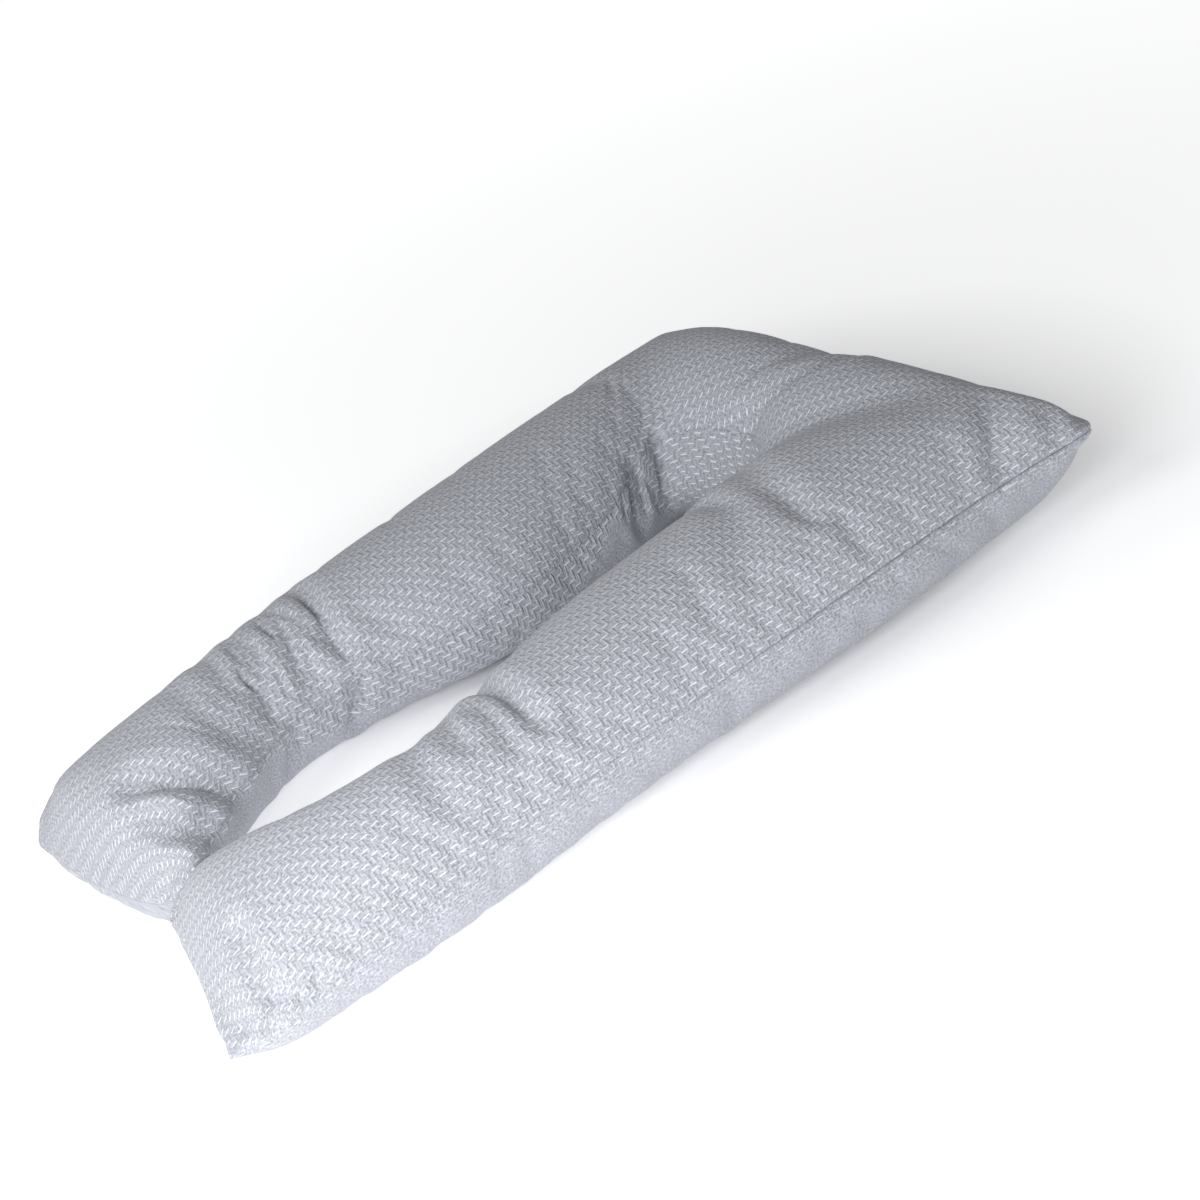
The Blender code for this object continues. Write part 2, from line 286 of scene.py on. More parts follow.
# The pillow is a ladder of ribs, each running from the inner seam of the U to its outer seam, in
# order from the end of the left leg, round the head, to the end of the right leg. seamIn and seamOut
# are the seam's heights, crown the height of the top. fullIn and taperOut shape the top panel, and
# bellyIn and bellyOut are how far the bottom panel stands out past the seam. corner marks a rib that
# ends in a corner of the outline, and lift is the height of the underside. Metres.
ribColumns = (
    "innerX", "innerY", "outerX", "outerY", "seamIn", "seamOut", "crown",
    "fullIn", "taperOut", "bellyIn", "bellyOut", "lift", "corner",
)
ribs = (
    (0.060, -0.525, -0.288, -0.547, 0.068, 0.054, 0.037, 1.0, 1.0, 0.000, 0.000, 0.006, False),
    (0.090, -0.502, -0.300, -0.516, 0.084, 0.078, 0.137, 1.0, 1.0, 0.000, 0.005, 0.000, False),
    (0.059, -0.455, -0.298, -0.456, 0.092, 0.090, 0.168, 1.0, 1.0, -0.006, 0.005, 0.000, False),
    (-0.022, -0.354, -0.297, -0.350, 0.095, 0.095, 0.177, 1.0, 1.0, -0.008, 0.005, 0.000, False),
    (-0.086, -0.246, -0.314, -0.235, 0.095, 0.098, 0.177, 1.0, 1.0, -0.010, 0.005, 0.000, False),
    (-0.086, -0.120, -0.334, -0.110, 0.095, 0.100, 0.182, 1.0, 1.0, 0.004, 0.005, 0.000, False),
    (-0.052, 0.000, -0.352, 0.020, 0.095, 0.100, 0.189, 1.0, 1.0, 0.020, 0.005, 0.000, False),
    (-0.040, 0.100, -0.364, 0.150, 0.095, 0.100, 0.193, 1.0, 1.0, 0.030, 0.005, 0.000, False),
    (-0.060, 0.200, -0.373, 0.280, 0.098, 0.100, 0.194, 1.0, 1.0, 0.045, 0.005, 0.000, False),
    (-0.085, 0.285, -0.380, 0.410, 0.108, 0.100, 0.193, 1.0, 1.0, 0.070, 0.005, 0.000, False),
    (-0.120, 0.355, -0.386, 0.540, 0.124, 0.098, 0.189, 1.0, 1.1, 0.090, 0.000, 0.000, False),
    (-0.135, 0.405, -0.399, 0.646, 0.131, 0.095, 0.189, 1.0, 1.5, 0.095, 0.000, 0.000, True),
    (-0.110, 0.440, -0.270, 0.652, 0.132, 0.095, 0.201, 1.0, 1.0, 0.090, 0.005, 0.000, False),
    (-0.060, 0.458, -0.120, 0.651, 0.132, 0.095, 0.206, 1.0, 1.0, 0.080, 0.010, 0.000, False),
    (-0.005, 0.462, 0.020, 0.648, 0.131, 0.095, 0.196, 1.0, 1.0, 0.065, 0.010, 0.000, False),
    (0.040, 0.448, 0.160, 0.648, 0.127, 0.095, 0.210, 0.8, 1.0, 0.045, 0.010, 0.000, False),
    (0.072, 0.415, 0.300, 0.651, 0.121, 0.095, 0.207, 0.7, 1.0, 0.035, 0.005, 0.000, False),
    (0.092, 0.370, 0.449, 0.677, 0.115, 0.100, 0.190, 0.7, 1.2, 0.030, -0.016, 0.000, True),
    (0.106, 0.310, 0.425, 0.522, 0.110, 0.097, 0.202, 0.8, 1.0, 0.025, 0.012, 0.000, False),
    (0.118, 0.220, 0.423, 0.380, 0.105, 0.098, 0.202, 0.9, 1.0, 0.018, 0.029, 0.000, False),
    (0.128, 0.110, 0.425, 0.230, 0.100, 0.098, 0.200, 1.0, 1.0, 0.010, 0.024, 0.000, False),
    (0.145, 0.000, 0.427, 0.080, 0.098, 0.097, 0.199, 1.0, 1.0, 0.005, 0.009, 0.000, False),
    (0.180, -0.130, 0.431, -0.080, 0.095, 0.096, 0.194, 1.0, 1.0, 0.005, 0.006, 0.000, False),
    (0.212, -0.260, 0.434, -0.240, 0.092, 0.092, 0.189, 1.0, 1.0, 0.000, 0.005, 0.000, False),
    (0.197, -0.370, 0.445, -0.370, 0.092, 0.087, 0.190, 1.0, 1.0, 0.000, 0.005, 0.000, False),
    (0.134, -0.450, 0.448, -0.480, 0.090, 0.078, 0.178, 1.0, 1.0, 0.000, 0.004, 0.000, False),
    (0.093, -0.512, 0.442, -0.586, 0.085, 0.063, 0.145, 1.0, 1.1, 0.000, 0.002, 0.000, False),
    (0.110, -0.558, 0.405, -0.657, 0.075, 0.045, 0.060, 1.0, 1.3, 0.000, 0.000, 0.015, False),
)
pillow = {
    "stepsPerRib": 3,
    "endBow": (0.007, 0.009),  # how far the seams of the left and right ends bow, one out and one in
    "panelFaces": 9,
    "flatness": 1.22,  # over 1, so that the bottom panel lies flat on the floor
    "seamCrease": 0.45, "cornerCrease": 0.05, "cornerSteps": 2,  # the corners of the ends are softer
    "smoothing": 3,
    "onSeam": 1e-6,  # a side nearer to zero than this is the seam
    "floorClearance": 0.004,  # what lies lower rests on the floor and isn't pressed
    "troughReach": 3,  # in widths, how far from its line a trough still shows
    "creaseFade": 0.25, "fadePower": 0.5,  # the share of a crease over which each end fades, and how
    "seamWidth": 0.0050, "seamDepth": 0.0036,
    "fill": 0.7,
    "cloth": {
        "frames": 20, "quality": 5, "mass": 0.3, "pressure": 4.0, "excess": 0.02, "cap": 0.006,
        "tension": 15.0, "compression": 5.0, "shear": 5.0, "bending": 0.05,
        "inset": 0.005, "insetRamp": 0.030,  # it swells, so it starts a little smaller
    },
}

# Folds are troughs pressed into a panel along a line through three points. A point is a place along
# the ladder and a turn across it, 0 at the inner seam and 1 at the outer. Widths and depths in mm.
foldColumns = ("panel", "rib1", "turn1", "rib2", "turn2", "rib3", "turn3", "width", "depth")
folds = (
    ("top", 5.10, 0.64, 5.00, 0.40, 4.90, 0.18, 22, 7),  # left leg, from the first crease down
    ("top", 4.70, 0.62, 4.70, 0.43, 4.80, 0.28, 22, 6),
    ("top", 4.50, 0.58, 4.50, 0.36, 4.45, 0.16, 22, 7),
    ("top", 4.20, 0.56, 4.05, 0.30, 3.90, 0.12, 24, 7),
    ("top", 3.80, 0.66, 3.75, 0.50, 3.65, 0.33, 24, 5),
    ("top", 3.20, 0.56, 3.20, 0.40, 3.25, 0.22, 26, 4),
    ("top", 1.85, 0.42, 2.40, 0.28, 2.85, 0.06, 36, 19),  # left end, two pinches
    ("top", 1.30, 0.36, 1.70, 0.22, 2.20, 0.05, 30, 14),
    ("low", 4.85, 0.02, 4.75, 0.10, 4.70, 0.18, 20, 9),  # left leg, tucks under the inner seam
    ("low", 4.05, 0.02, 4.00, 0.08, 3.90, 0.14, 20, 6),
    ("low", 10.00, 0.01, 9.80, 0.06, 9.60, 0.12, 20, 12),  # bend, three pleats
    ("low", 11.10, 0.01, 11.00, 0.07, 10.90, 0.13, 20, 11),
    ("low", 12.90, 0.03, 13.00, 0.09, 13.20, 0.15, 22, 5),
    ("top", 13.90, 0.02, 14.60, 0.30, 14.80, 0.56, 32, 12),  # head, the valley to the bend
    ("top", 18.30, 0.30, 18.90, 0.47, 19.30, 0.63, 32, 7),  # right leg below the bend
    ("top", 19.10, 0.36, 19.60, 0.54, 20.20, 0.70, 36, 5),
    ("top", 17.10, 0.68, 17.50, 0.76, 17.95, 0.93, 24, 7),  # head, the corner by the tag
    ("top", 17.20, 0.82, 17.30, 0.88, 17.40, 0.94, 18, 6),
    ("top", 22.10, 0.26, 22.25, 0.50, 22.40, 0.68, 24, 10),  # right leg, the neck
    ("top", 22.50, 0.44, 22.58, 0.57, 22.64, 0.70, 22, 7),
    ("top", 22.65, 0.32, 22.85, 0.48, 22.90, 0.60, 24, 7),
    ("top", 23.00, 0.32, 23.30, 0.55, 23.40, 0.74, 28, 5),
    ("top", 25.95, 0.62, 26.02, 0.74, 26.00, 0.86, 20, 12),  # right end, dent and pull
    ("top", 25.40, 0.93, 25.70, 0.94, 26.20, 0.95, 16, 6),
)
# Creases are the narrow, sharper lines in and beside the folds.
creases = (
    ("top", 5.02, 0.60, 4.98, 0.45, 4.86, 0.26, 5, 7),  # left leg, the first long crease
    ("top", 4.87, 0.28, 4.88, 0.23, 4.87, 0.12, 6, 5),
    ("top", 5.06, 0.42, 4.98, 0.32, 4.91, 0.22, 6, 6),
    ("top", 4.66, 0.66, 4.70, 0.54, 4.75, 0.40, 5, 7),
    ("top", 4.53, 0.60, 4.47, 0.50, 4.47, 0.38, 5, 6.5),
    ("top", 4.62, 0.50, 4.54, 0.37, 4.44, 0.22, 5, 7),
    ("top", 4.60, 0.32, 4.56, 0.22, 4.52, 0.12, 5, 6),
    ("top", 4.25, 0.48, 4.20, 0.40, 4.15, 0.32, 5, 6.5),
    ("top", 4.22, 0.28, 4.19, 0.21, 4.15, 0.10, 5, 6.5),
    ("top", 4.05, 0.56, 4.02, 0.48, 4.00, 0.40, 6, 4),
    ("top", 3.90, 0.38, 3.91, 0.30, 3.96, 0.22, 5, 7.5),
    ("top", 3.98, 0.24, 3.94, 0.17, 3.88, 0.06, 6, 2.5),
    ("top", 3.80, 0.66, 3.76, 0.50, 3.70, 0.38, 8, 2),
    ("top", 3.42, 0.46, 3.45, 0.34, 3.50, 0.22, 8, 2),
    ("top", 2.70, 0.48, 2.90, 0.36, 3.12, 0.23, 9, 2),
    ("top", 2.00, 0.34, 2.40, 0.28, 2.80, 0.08, 8, 6),  # left end
    ("top", 2.10, 0.25, 2.30, 0.17, 2.50, 0.08, 7, 3.5),
    ("top", 1.50, 0.30, 2.05, 0.20, 2.40, 0.05, 8, 4.5),
    ("low", 4.90, 0.01, 4.78, 0.10, 4.68, 0.19, 7, 9),  # left leg, tucks under the inner seam
    ("low", 4.56, 0.03, 4.56, 0.08, 4.55, 0.14, 6, 5),
    ("low", 4.06, 0.03, 4.06, 0.09, 4.02, 0.15, 6, 7),
    ("low", 3.84, 0.01, 3.88, 0.07, 3.90, 0.14, 6, 3.5),
    ("low", 5.10, 0.06, 5.12, 0.13, 5.10, 0.20, 8, 2.5),
    ("low", 9.35, 0.00, 9.25, 0.03, 9.15, 0.06, 6, 4),  # bend, pleats from the seam down
    ("low", 9.75, 0.00, 9.68, 0.03, 9.62, 0.09, 6, 5.5),
    ("low", 10.12, 0.00, 10.06, 0.05, 9.95, 0.11, 6, 5.5),
    ("low", 10.95, 0.00, 11.05, 0.06, 11.08, 0.19, 7, 6),
    ("low", 11.60, 0.01, 11.65, 0.05, 11.70, 0.10, 7, 2.5),
    ("top", 22.15, 0.30, 22.28, 0.50, 22.40, 0.68, 8, 3.5),  # right leg, the neck
    ("top", 22.50, 0.48, 22.57, 0.58, 22.62, 0.70, 8, 2.5),
    ("top", 22.68, 0.36, 22.80, 0.47, 22.86, 0.58, 8, 2.5),
    ("top", 17.15, 0.68, 17.55, 0.76, 17.95, 0.93, 8, 3),  # head, the corner
    ("top", 25.90, 0.64, 25.98, 0.74, 25.98, 0.84, 8, 4),  # right end
    ("top", 25.95, 0.84, 26.10, 0.90, 26.30, 0.95, 7, 5),
    ("top", 25.45, 0.90, 25.50, 0.94, 25.52, 0.99, 7, 3),
    ("top", 25.70, 0.89, 25.74, 0.94, 25.76, 0.99, 7, 3),
    ("top", 26.55, 0.80, 26.68, 0.86, 26.85, 0.88, 8, 3),
    ("top", 26.40, 0.60, 26.60, 0.66, 26.85, 0.68, 9, 2),
)


# A smooth curve through a column, read at places between the ribs, one-sided at a corner.
def blended(values, places, corners):
    values = np.array(values, float)
    last = len(values) - 1
    index = np.minimum(places.astype(int), last - 1)
    share = places - index
    here, there = values[index], values[index + 1]
    step = there - here
    leave = (there - values[np.maximum(index - 1, 0)]) / 2
    arrive = (values[np.minimum(index + 2, last)] - here) / 2
    leave = np.where(np.isin(index, corners), step, leave)
    arrive = np.where(np.isin(index + 1, corners), step, arrive)
    square, cube = share ** 2, share ** 3
    return (
        here * (2 * cube - 3 * square + 1) + leave * (cube - 2 * square + share)
        + there * (3 * square - 2 * cube) + arrive * (cube - square)
    )


def ribsAt(places):
    columns = dict(zip(ribColumns, zip(*ribs)))
    corners = [i for i, isCorner in enumerate(columns.pop("corner")) if isCorner]
    columns["bow"] = [pillow["endBow"][0]] + [0.0] * (len(ribs) - 2) + [pillow["endBow"][1]]
    outer = ("outerX", "outerY", "taperOut")
    return {
        name: blended(values, places, corners if name in outer else ())[:, None]
        for name, values in columns.items()
    }


# The points of every rib's section, a row for each rib and a column for each turn.
def sections(rib, turns, isTop):
    share = (1 - np.cos(math.pi * turns)) / 2
    swell = np.maximum(np.sin(math.pi * turns), 0.0)
    seam = rib["seamIn"] + (rib["seamOut"] - rib["seamIn"]) * share
    acrossX, acrossY = rib["outerX"] - rib["innerX"], rib["outerY"] - rib["innerY"]
    length = np.hypot(acrossX, acrossY)
    bow = rib["bow"] * 4 * share * (1 - share) / length
    x = rib["innerX"] + acrossX * share - bow * acrossY
    y = rib["innerY"] + acrossY * share + bow * acrossX
    outside = share > 0.5
    if isTop:
        power = np.where(outside, rib["taperOut"], rib["fullIn"])
        return np.stack([x, y, seam + (rib["crown"] - seam) * swell ** power], axis=2)
    rise = swell ** np.where(outside, rib["taperOut"], 1.0)
    belly = np.where(outside, rib["bellyOut"], -rib["bellyIn"]) * np.sin(math.pi * rise)
    drop = (seam - np.maximum(rib["lift"], 0.0)) * np.minimum(1.0, pillow["flatness"] * rise)
    return np.stack([x + belly * acrossX / length, y + belly * acrossY / length, seam - drop], axis=2)


# The cage of the two panels, sewn together along both sides of the ladder and at its ends. Each
# vertex keeps its place on the ladder and its turn, and its side: 1 top, -1 bottom, 0 the seam.
def pillowCage():
    count = (len(ribs) - 1) * pillow["stepsPerRib"] + 1
    places = np.arange(count) / pillow["stepsPerRib"]
    turns = np.arange(pillow["panelFaces"] + 1) / pillow["panelFaces"]
    rib = ribsAt(places)
    points = {side: sections(rib, turns, side > 0) for side in (1, -1)}
    form = bmesh.new()
    crease = form.edges.layers.float.new("crease_edge")
    keep = {name: form.verts.layers.float.new(name) for name in ("place", "turn", "side")}
    panel = form.faces.layers.int.new("panel")

    def vertex(row, column, side):
        made = form.verts.new(points[side][row, column])
        isSeam = column in (0, len(turns) - 1) or row in (0, count - 1)
        made[keep["place"]] = places[row]
        made[keep["turn"]] = turns[column]
        made[keep["side"]] = 0.0 if isSeam else side
        return made

    topRows = [[vertex(row, column, 1) for column in range(len(turns))] for row in range(count)]
    lowRows = [list(row) for row in topRows]
    for row in range(1, count - 1):
        lowRows[row][1:-1] = [vertex(row, column, -1) for column in range(1, len(turns) - 1)]
    for side, rows in ((1, topRows), (-1, lowRows)):
        for row, following in zip(rows, rows[1:]):
            for i in range(pillow["panelFaces"]):
                face = form.faces.new((row[i], following[i], following[i + 1], row[i + 1]))
                face[panel] = side
    bmesh.ops.recalc_face_normals(form, faces=form.faces[:])
    inner = [row[0] for row in topRows]
    outer = [row[-1] for row in reversed(topRows)]
    seam = inner + topRows[-1][1:-1] + outer + topRows[0][-2:0:-1]
    corners = [seam.index(topRows[end][side]) for end in (0, -1) for side in (0, -1)]
    steps = range(-pillow["cornerSteps"], pillow["cornerSteps"])
    soft = {(corner + step) % len(seam) for corner in corners for step in steps}
    for i, (start, end) in enumerate(zip(seam, seam[1:] + seam[:1])):
        form.edges.get((start, end))[crease] = pillow["cornerCrease" if i in soft else "seamCrease"]
    mesh = bpy.data.meshes.new("pillow cage")
    form.to_mesh(mesh)
    form.free()
    return mesh


# The mesh of an object as its modifiers leave it.
def finishedMesh(holder):
    return bpy.data.meshes.new_from_object(
        holder.evaluated_get(bpy.context.evaluated_depsgraph_get()))


def smoothed(mesh, levels):
    holder = bpy.data.objects.new("smoothing", mesh)
    scene.collection.objects.link(holder)
    soft = holder.modifiers.new("Soft form", "SUBSURF")
    soft.levels = levels
    soft.render_levels = levels
    bpy.context.view_layer.update()
    result = finishedMesh(holder)
    bpy.data.objects.remove(holder)
    return result


def readVectors(items, name):
    values = np.empty(len(items) * 3, np.float32)
    items.foreach_get(name, values)
    return values.reshape(-1, 3).astype(float)


def readPoints(mesh):
    return readVectors(mesh.vertices, "co")


def readNormals(mesh):
    return readVectors(mesh.vertex_normals, "vector")


def writePoints(mesh, points):
    mesh.vertices.foreach_set("co", points.astype(np.float32).ravel())
    mesh.update()


def readValues(mesh, name, kind=np.float32):
    attribute = mesh.attributes[name]
    values = np.empty(len(attribute.data), kind)
    attribute.data.foreach_get("value", values)
    return values


# The vertices of each panel as a grid, a row for each step along the ladder.
def panelGrids(mesh, level):
    fine = 2 ** level
    row = np.rint(readValues(mesh, "place") * pillow["stepsPerRib"] * fine).astype(int)
    column = np.rint(readValues(mesh, "turn") * pillow["panelFaces"] * fine).astype(int)
    side = readValues(mesh, "side")
    grids = {}
    for panel in (1, -1):
        grid = np.zeros((row.max() + 1, column.max() + 1), int)
        ours = np.flatnonzero(side * panel > -pillow["onSeam"])
        grid[row[ours], column[ours]] = ours
        grids[panel] = grid
    return grids


# The points of a panel at places and turns that may lie between its vertices.
def surfaceAt(points, grid, places, turns):
    rows, columns = grid.shape
    pastLast = 1.001  # a little over 1, so that the last point still has a vertex beyond it
    row = np.clip(places * (rows - 1) / (len(ribs) - 1), 0, rows - pastLast)
    column = np.clip(turns * (columns - 1), 0, columns - pastLast)
    r, c = row.astype(int), column.astype(int)
    down, over = (row - r)[:, None], (column - c)[:, None]
    return (
        points[grid[r, c]] * (1 - down) * (1 - over) + points[grid[r + 1, c]] * down * (1 - over)
        + points[grid[r, c + 1]] * (1 - down) * over + points[grid[r + 1, c + 1]] * down * over
    )


# How far points are from a path, and where along it, 0 to 1, each is nearest.
def fromPath(points, path):
    steps = np.diff(path, axis=0)
    lengths = np.linalg.norm(steps, axis=1)
    behind = np.concatenate(([0.0], np.cumsum(lengths)))
    nearest = np.full(len(points), np.inf)
    place = np.zeros(len(points))
    for start, step, length, before in zip(path, steps, lengths, behind):
        offset = points - start
        share = np.clip(offset @ step / length ** 2, 0.0, 1.0)
        distance = np.linalg.norm(offset - share[:, None] * step, axis=1)
        closer = distance < nearest
        nearest[closer] = distance[closer]
        place[closer] = before + share[closer] * length
    return nearest, place / behind[-1]


# Presses a trough along a path, its lips a little raised as cloth's are. It fades at its ends over
# that share of the path, or follows the strengths given along it.
def press(points, normals, path, width, depth, fade, strengths=None):
    reach = pillow["troughReach"] * width
    near = np.flatnonzero(
        ((points > path.min(axis=0) - reach) & (points < path.max(axis=0) + reach)).all(axis=1)
        & (points[:, 2] > pillow["floorClearance"])
    )
    distance, place = fromPath(points[near], path)
    spread = (distance / width) ** 2
    sink = depth * (1 - spread) * np.exp(-spread)
    if fade:
        sink *= np.clip(np.minimum(place, 1 - place) / fade, 0.0, 1.0) ** pillow["fadePower"]
    if strengths is not None:
        sink *= np.interp(place, np.linspace(0.0, 1.0, len(strengths)), strengths)
    points[near] -= normals[near] * sink[:, None]
    points[near, 2] = np.maximum(points[near, 2], 0.0)


# The curve on a panel that passes through the three points of a fold.
def foldPath(points, grids, fold, samples=17):
    share = np.linspace(0.0, 1.0, samples)
    weights = ((1 - share) * (1 - 2 * share), 4 * share * (1 - share), share * (2 * share - 1))
    places = sum(weight * fold[f"rib{i + 1}"] for i, weight in enumerate(weights))
    turns = sum(weight * fold[f"turn{i + 1}"] for i, weight in enumerate(weights))
    return surfaceAt(points, grids[1 if fold["panel"] == "top" else -1], places, turns)


def pressFolds(mesh, level, rows, fade):
    grids = panelGrids(mesh, level)
    points, normals = readPoints(mesh), readNormals(mesh)
    for row in rows:
        fold = dict(zip(foldColumns, row))
        path = foldPath(points, grids, fold)
        press(points, normals, path, fold["width"] / 1000, fold["depth"] / 1000, fade)
    writePoints(mesh, points)


# Fills the cover: the cloth is a little larger than the form, held at its seams and underside, and
# pressed out from inside, so it settles in the small uneven puckers of a filled cover.
def inflate(mesh, level, cloth):
    start = readPoints(mesh)
    isSeam = np.abs(readValues(mesh, "side")) < pillow["onSeam"]
    held = (start[:, 2] < pillow["floorClearance"]) | isSeam
    ramp = np.zeros(len(start))
    for grid in panelGrids(mesh, level).values():
        ramp[grid] = np.clip(seamGap(start[grid]) / cloth["insetRamp"], 0.0, 1.0)
    ramp *= np.clip((start[:, 2] - pillow["floorClearance"]) / cloth["insetRamp"], 0.0, 1.0)
    start -= readNormals(mesh) * (cloth["inset"] * ramp)[:, None]
    writePoints(mesh, start)
    holder = bpy.data.objects.new("filled cover", mesh.copy())
    scene.collection.objects.link(holder)
    holder.vertex_groups.new(name="held").add(np.flatnonzero(held).tolist(), 1.0, "REPLACE")
    filled = holder.modifiers.new("Cloth", "CLOTH")
    filled.settings.quality = cloth["quality"]
    filled.settings.mass = cloth["mass"]
    filled.settings.tension_stiffness = cloth["tension"]
    filled.settings.compression_stiffness = cloth["compression"]
    filled.settings.shear_stiffness = cloth["shear"]
    filled.settings.bending_stiffness = cloth["bending"]
    filled.settings.use_pressure = True
    filled.settings.uniform_pressure_force = cloth["pressure"]
    filled.settings.shrink_min = -cloth["excess"]
    filled.settings.vertex_group_mass = "held"
    filled.settings.effector_weights.gravity = 0.0
    for number in range(1, cloth["frames"] + 1):
        scene.frame_set(number)
    move = readPoints(finishedMesh(holder)) - start
    bpy.data.objects.remove(holder)
    scene.frame_set(1)
    length = np.maximum(np.linalg.norm(move, axis=1, keepdims=True), tiny)
    points = start + move / length * cloth["cap"] * np.tanh(length / cloth["cap"])
    points[:, 2] = np.maximum(points[:, 2], 0.0)
    writePoints(mesh, points)


# The lengths along the rows or columns of a grid of points, from its first.
def running(points, axis):
    steps = np.linalg.norm(np.diff(points, axis=axis), axis=2)
    first = np.zeros_like(steps[:1] if axis == 0 else steps[:, :1])
    return np.concatenate([first, np.cumsum(steps, axis=axis)], axis=axis)


# The cloth as it was cut. On the top panel the knit runs straight up the whole panel: the flat cloth
# is walked along the crest and from there down both slopes, a slope's steps being lengthened only
# square to the leg. On the bottom panel the knit runs along the nearer seam. With each panel's flat
# places go the lengths along its surface to the seam, and the lengths across it from the inner seam.
def flatCloth(points, grids):
    top = points[grids[1]]
    middle = top.shape[1] // 2
    crest = top[:, middle]
    steps = np.diff(crest, axis=0)
    plan = np.linalg.norm(steps[:, :2], axis=1, keepdims=True)
    walk = np.cumsum(steps[:, :2] / plan * np.linalg.norm(steps, axis=1, keepdims=True), axis=0)
    walk = np.concatenate([np.zeros((1, 2)), walk])
    ladder = np.gradient(top[:, :, :2], axis=0)
    ladder /= np.maximum(np.linalg.norm(ladder, axis=2, keepdims=True), tiny)
    square = np.stack([ladder[:, :, 1], -ladder[:, :, 0]], axis=2)
    steps = np.diff(top, axis=1)
    ladder, square = (ladder[:, 1:] + ladder[:, :-1]) / 2, (square[:, 1:] + square[:, :-1]) / 2
    outward = (steps[:, :, :2] * square).sum(axis=2, keepdims=True)
    sidewards = np.hypot(outward, steps[:, :, 2:]) * np.sign(outward)
    flatSteps = ladder * (steps[:, :, :2] * ladder).sum(axis=2, keepdims=True) + square * sidewards
    reach = np.concatenate([np.zeros((len(top), 1, 2)), np.cumsum(flatSteps, axis=1)], axis=1)
    start = walk - walk[len(walk) // 2] + crest[len(crest) // 2, :2] - reach[:, middle]
    topFlat = start[:, None, :] + reach
    low = points[grids[-1]]
    across, along = running(low, 1), running(low, 0)
    isInner = across < across[:, -1:] / 2
    fromSeam = np.where(isInner, across, across - across[:, -1:])
    lowFlat = np.stack([fromSeam, np.where(isInner, along[:, :1], along[:, -1:])], axis=2)
    return {
        1: (topFlat, seamGap(top), running(top, 1)),
        -1: (lowFlat, seamGap(low), across),
    }


# How far each point of a panel is from the seam, along the cloth.
def seamGap(panel):
    across, along = running(panel, 1), running(panel, 0)
    return np.minimum.reduce([across, across[:, -1:] - across, along, along[-1:] - along])


# The knit: a zigzag whose legs are by turns a white dash and a plain rib, with a crease beside it
# whose darkness is painted shadow, on a flecked ground. Metres, and stitches for the lines: a half is
# from the middle of a line to its edge, and an end is how far a dash runs past its leg. A firmness
# hardens an edge, a share is how far a colour takes over, and heights are shares of the relief.
knit = {
    "stitchWidth": 0.00475, "stitchHeight": 0.00367, "legLength": 3.0,
    "dashHalf": 0.23, "dashFirmness": 1.7, "dashEnd": 0.20, "endFirmness": 4.0,
    "ribHalf": 0.62, "ribUneven": 0.5,
    "creaseShift": 0.80, "creaseHalf": 0.34, "creaseLossAtDash": 0.5,
    "wobble": 0.32, "wobbleScale": 60.0, "wobbleDetail": 1.0,
    "patchScale": 110.0, "patchDetail": 1.0, "patchContrast": 2.4, "patchFloor": 0.6,
    "ground": (0.425, 0.435, 0.480), "thread": (0.86, 0.87, 0.90), "ribColour": (0.60, 0.61, 0.65),
    "shadow": (0.20, 0.20, 0.24), "seamShadeColour": (0.12, 0.12, 0.16),
    # The crease's share below is how far its painted shadow darkens the ground.
    "dashShare": 0.95, "ribShare": 0.22, "creaseShadowShare": 0.18,
    "flecks": (0.60, 1.40), "fleckContrast": 2.6,
    "fleckScale": 400.0, "fleckDetail": 2.0, "fleckStretch": (1.0, 0.7, 1.0),
    "wallStrength": 1.8, "wallFade": 0.010,  # below the inner seam
    # The seam's painted shade: half the width of its dark line, and how far its colour takes over.
    "seamHalf": 0.0020, "seamShadeShare": 0.80,
    "roughness": 0.92, "sheen": 0.15, "sheenRoughness": 0.5,
    "relief": 0.0006, "reliefStrength": 1.0,
    "ribHeight": 0.8, "dashHeight": 0.3, "creaseDepth": 0.55, "fleckHeight": 0.25,
}
# How deep the seam's groove is pressed and how dark the painted shade along it is, at places along
# the ladder, on the inner and the outer side.
seamShows = (
    (0, 0.4, 0.4), (4, 0.35, 0.5), (12, 0.45, 0.7), (17, 0.4, 1.0), (20, 0.4, 0.8), (23, 0.4, 0.3),
    (25, 0.4, 0.1), (27, 0.4, 0.1),
)
# Where the knit gives way to plain cloth. In each row: a place along the ladder, how far the knit
# reaches below the inner seam, how strong it still is at the outer seam, and over what distance from
# that seam it fades, on the top panel and on the bottom panel.
knitEnds = (
    (0.0, 0.005, 0.25, 0.150, 0.050), (3.6, 0.005, 0.30, 0.120, 0.050),
    (4.1, 0.045, 0.40, 0.080, 0.050), (5.0, 0.058, 0.40, 0.080, 0.050),
    (5.7, 0.074, 0.40, 0.080, 0.050), (6.2, 0.087, 0.40, 0.080, 0.050),
    (7.5, 0.050, 0.45, 0.070, 0.050), (8.8, 0.005, 0.50, 0.060, 0.050),
    (9.1, 0.024, 0.50, 0.060, 0.050), (9.9, 0.061, 0.60, 0.050, 0.050),
    (11.0, 0.105, 0.70, 0.040, 0.050), (17.0, 0.080, 0.90, 0.010, 0.040),
    (20.0, 0.080, 0.85, 0.010, 0.050), (22.0, 0.080, 0.85, 0.015, 0.070),
    (24.0, 0.080, 0.70, 0.025, 0.080), (27.0, 0.080, 0.60, 0.030, 0.080),
)


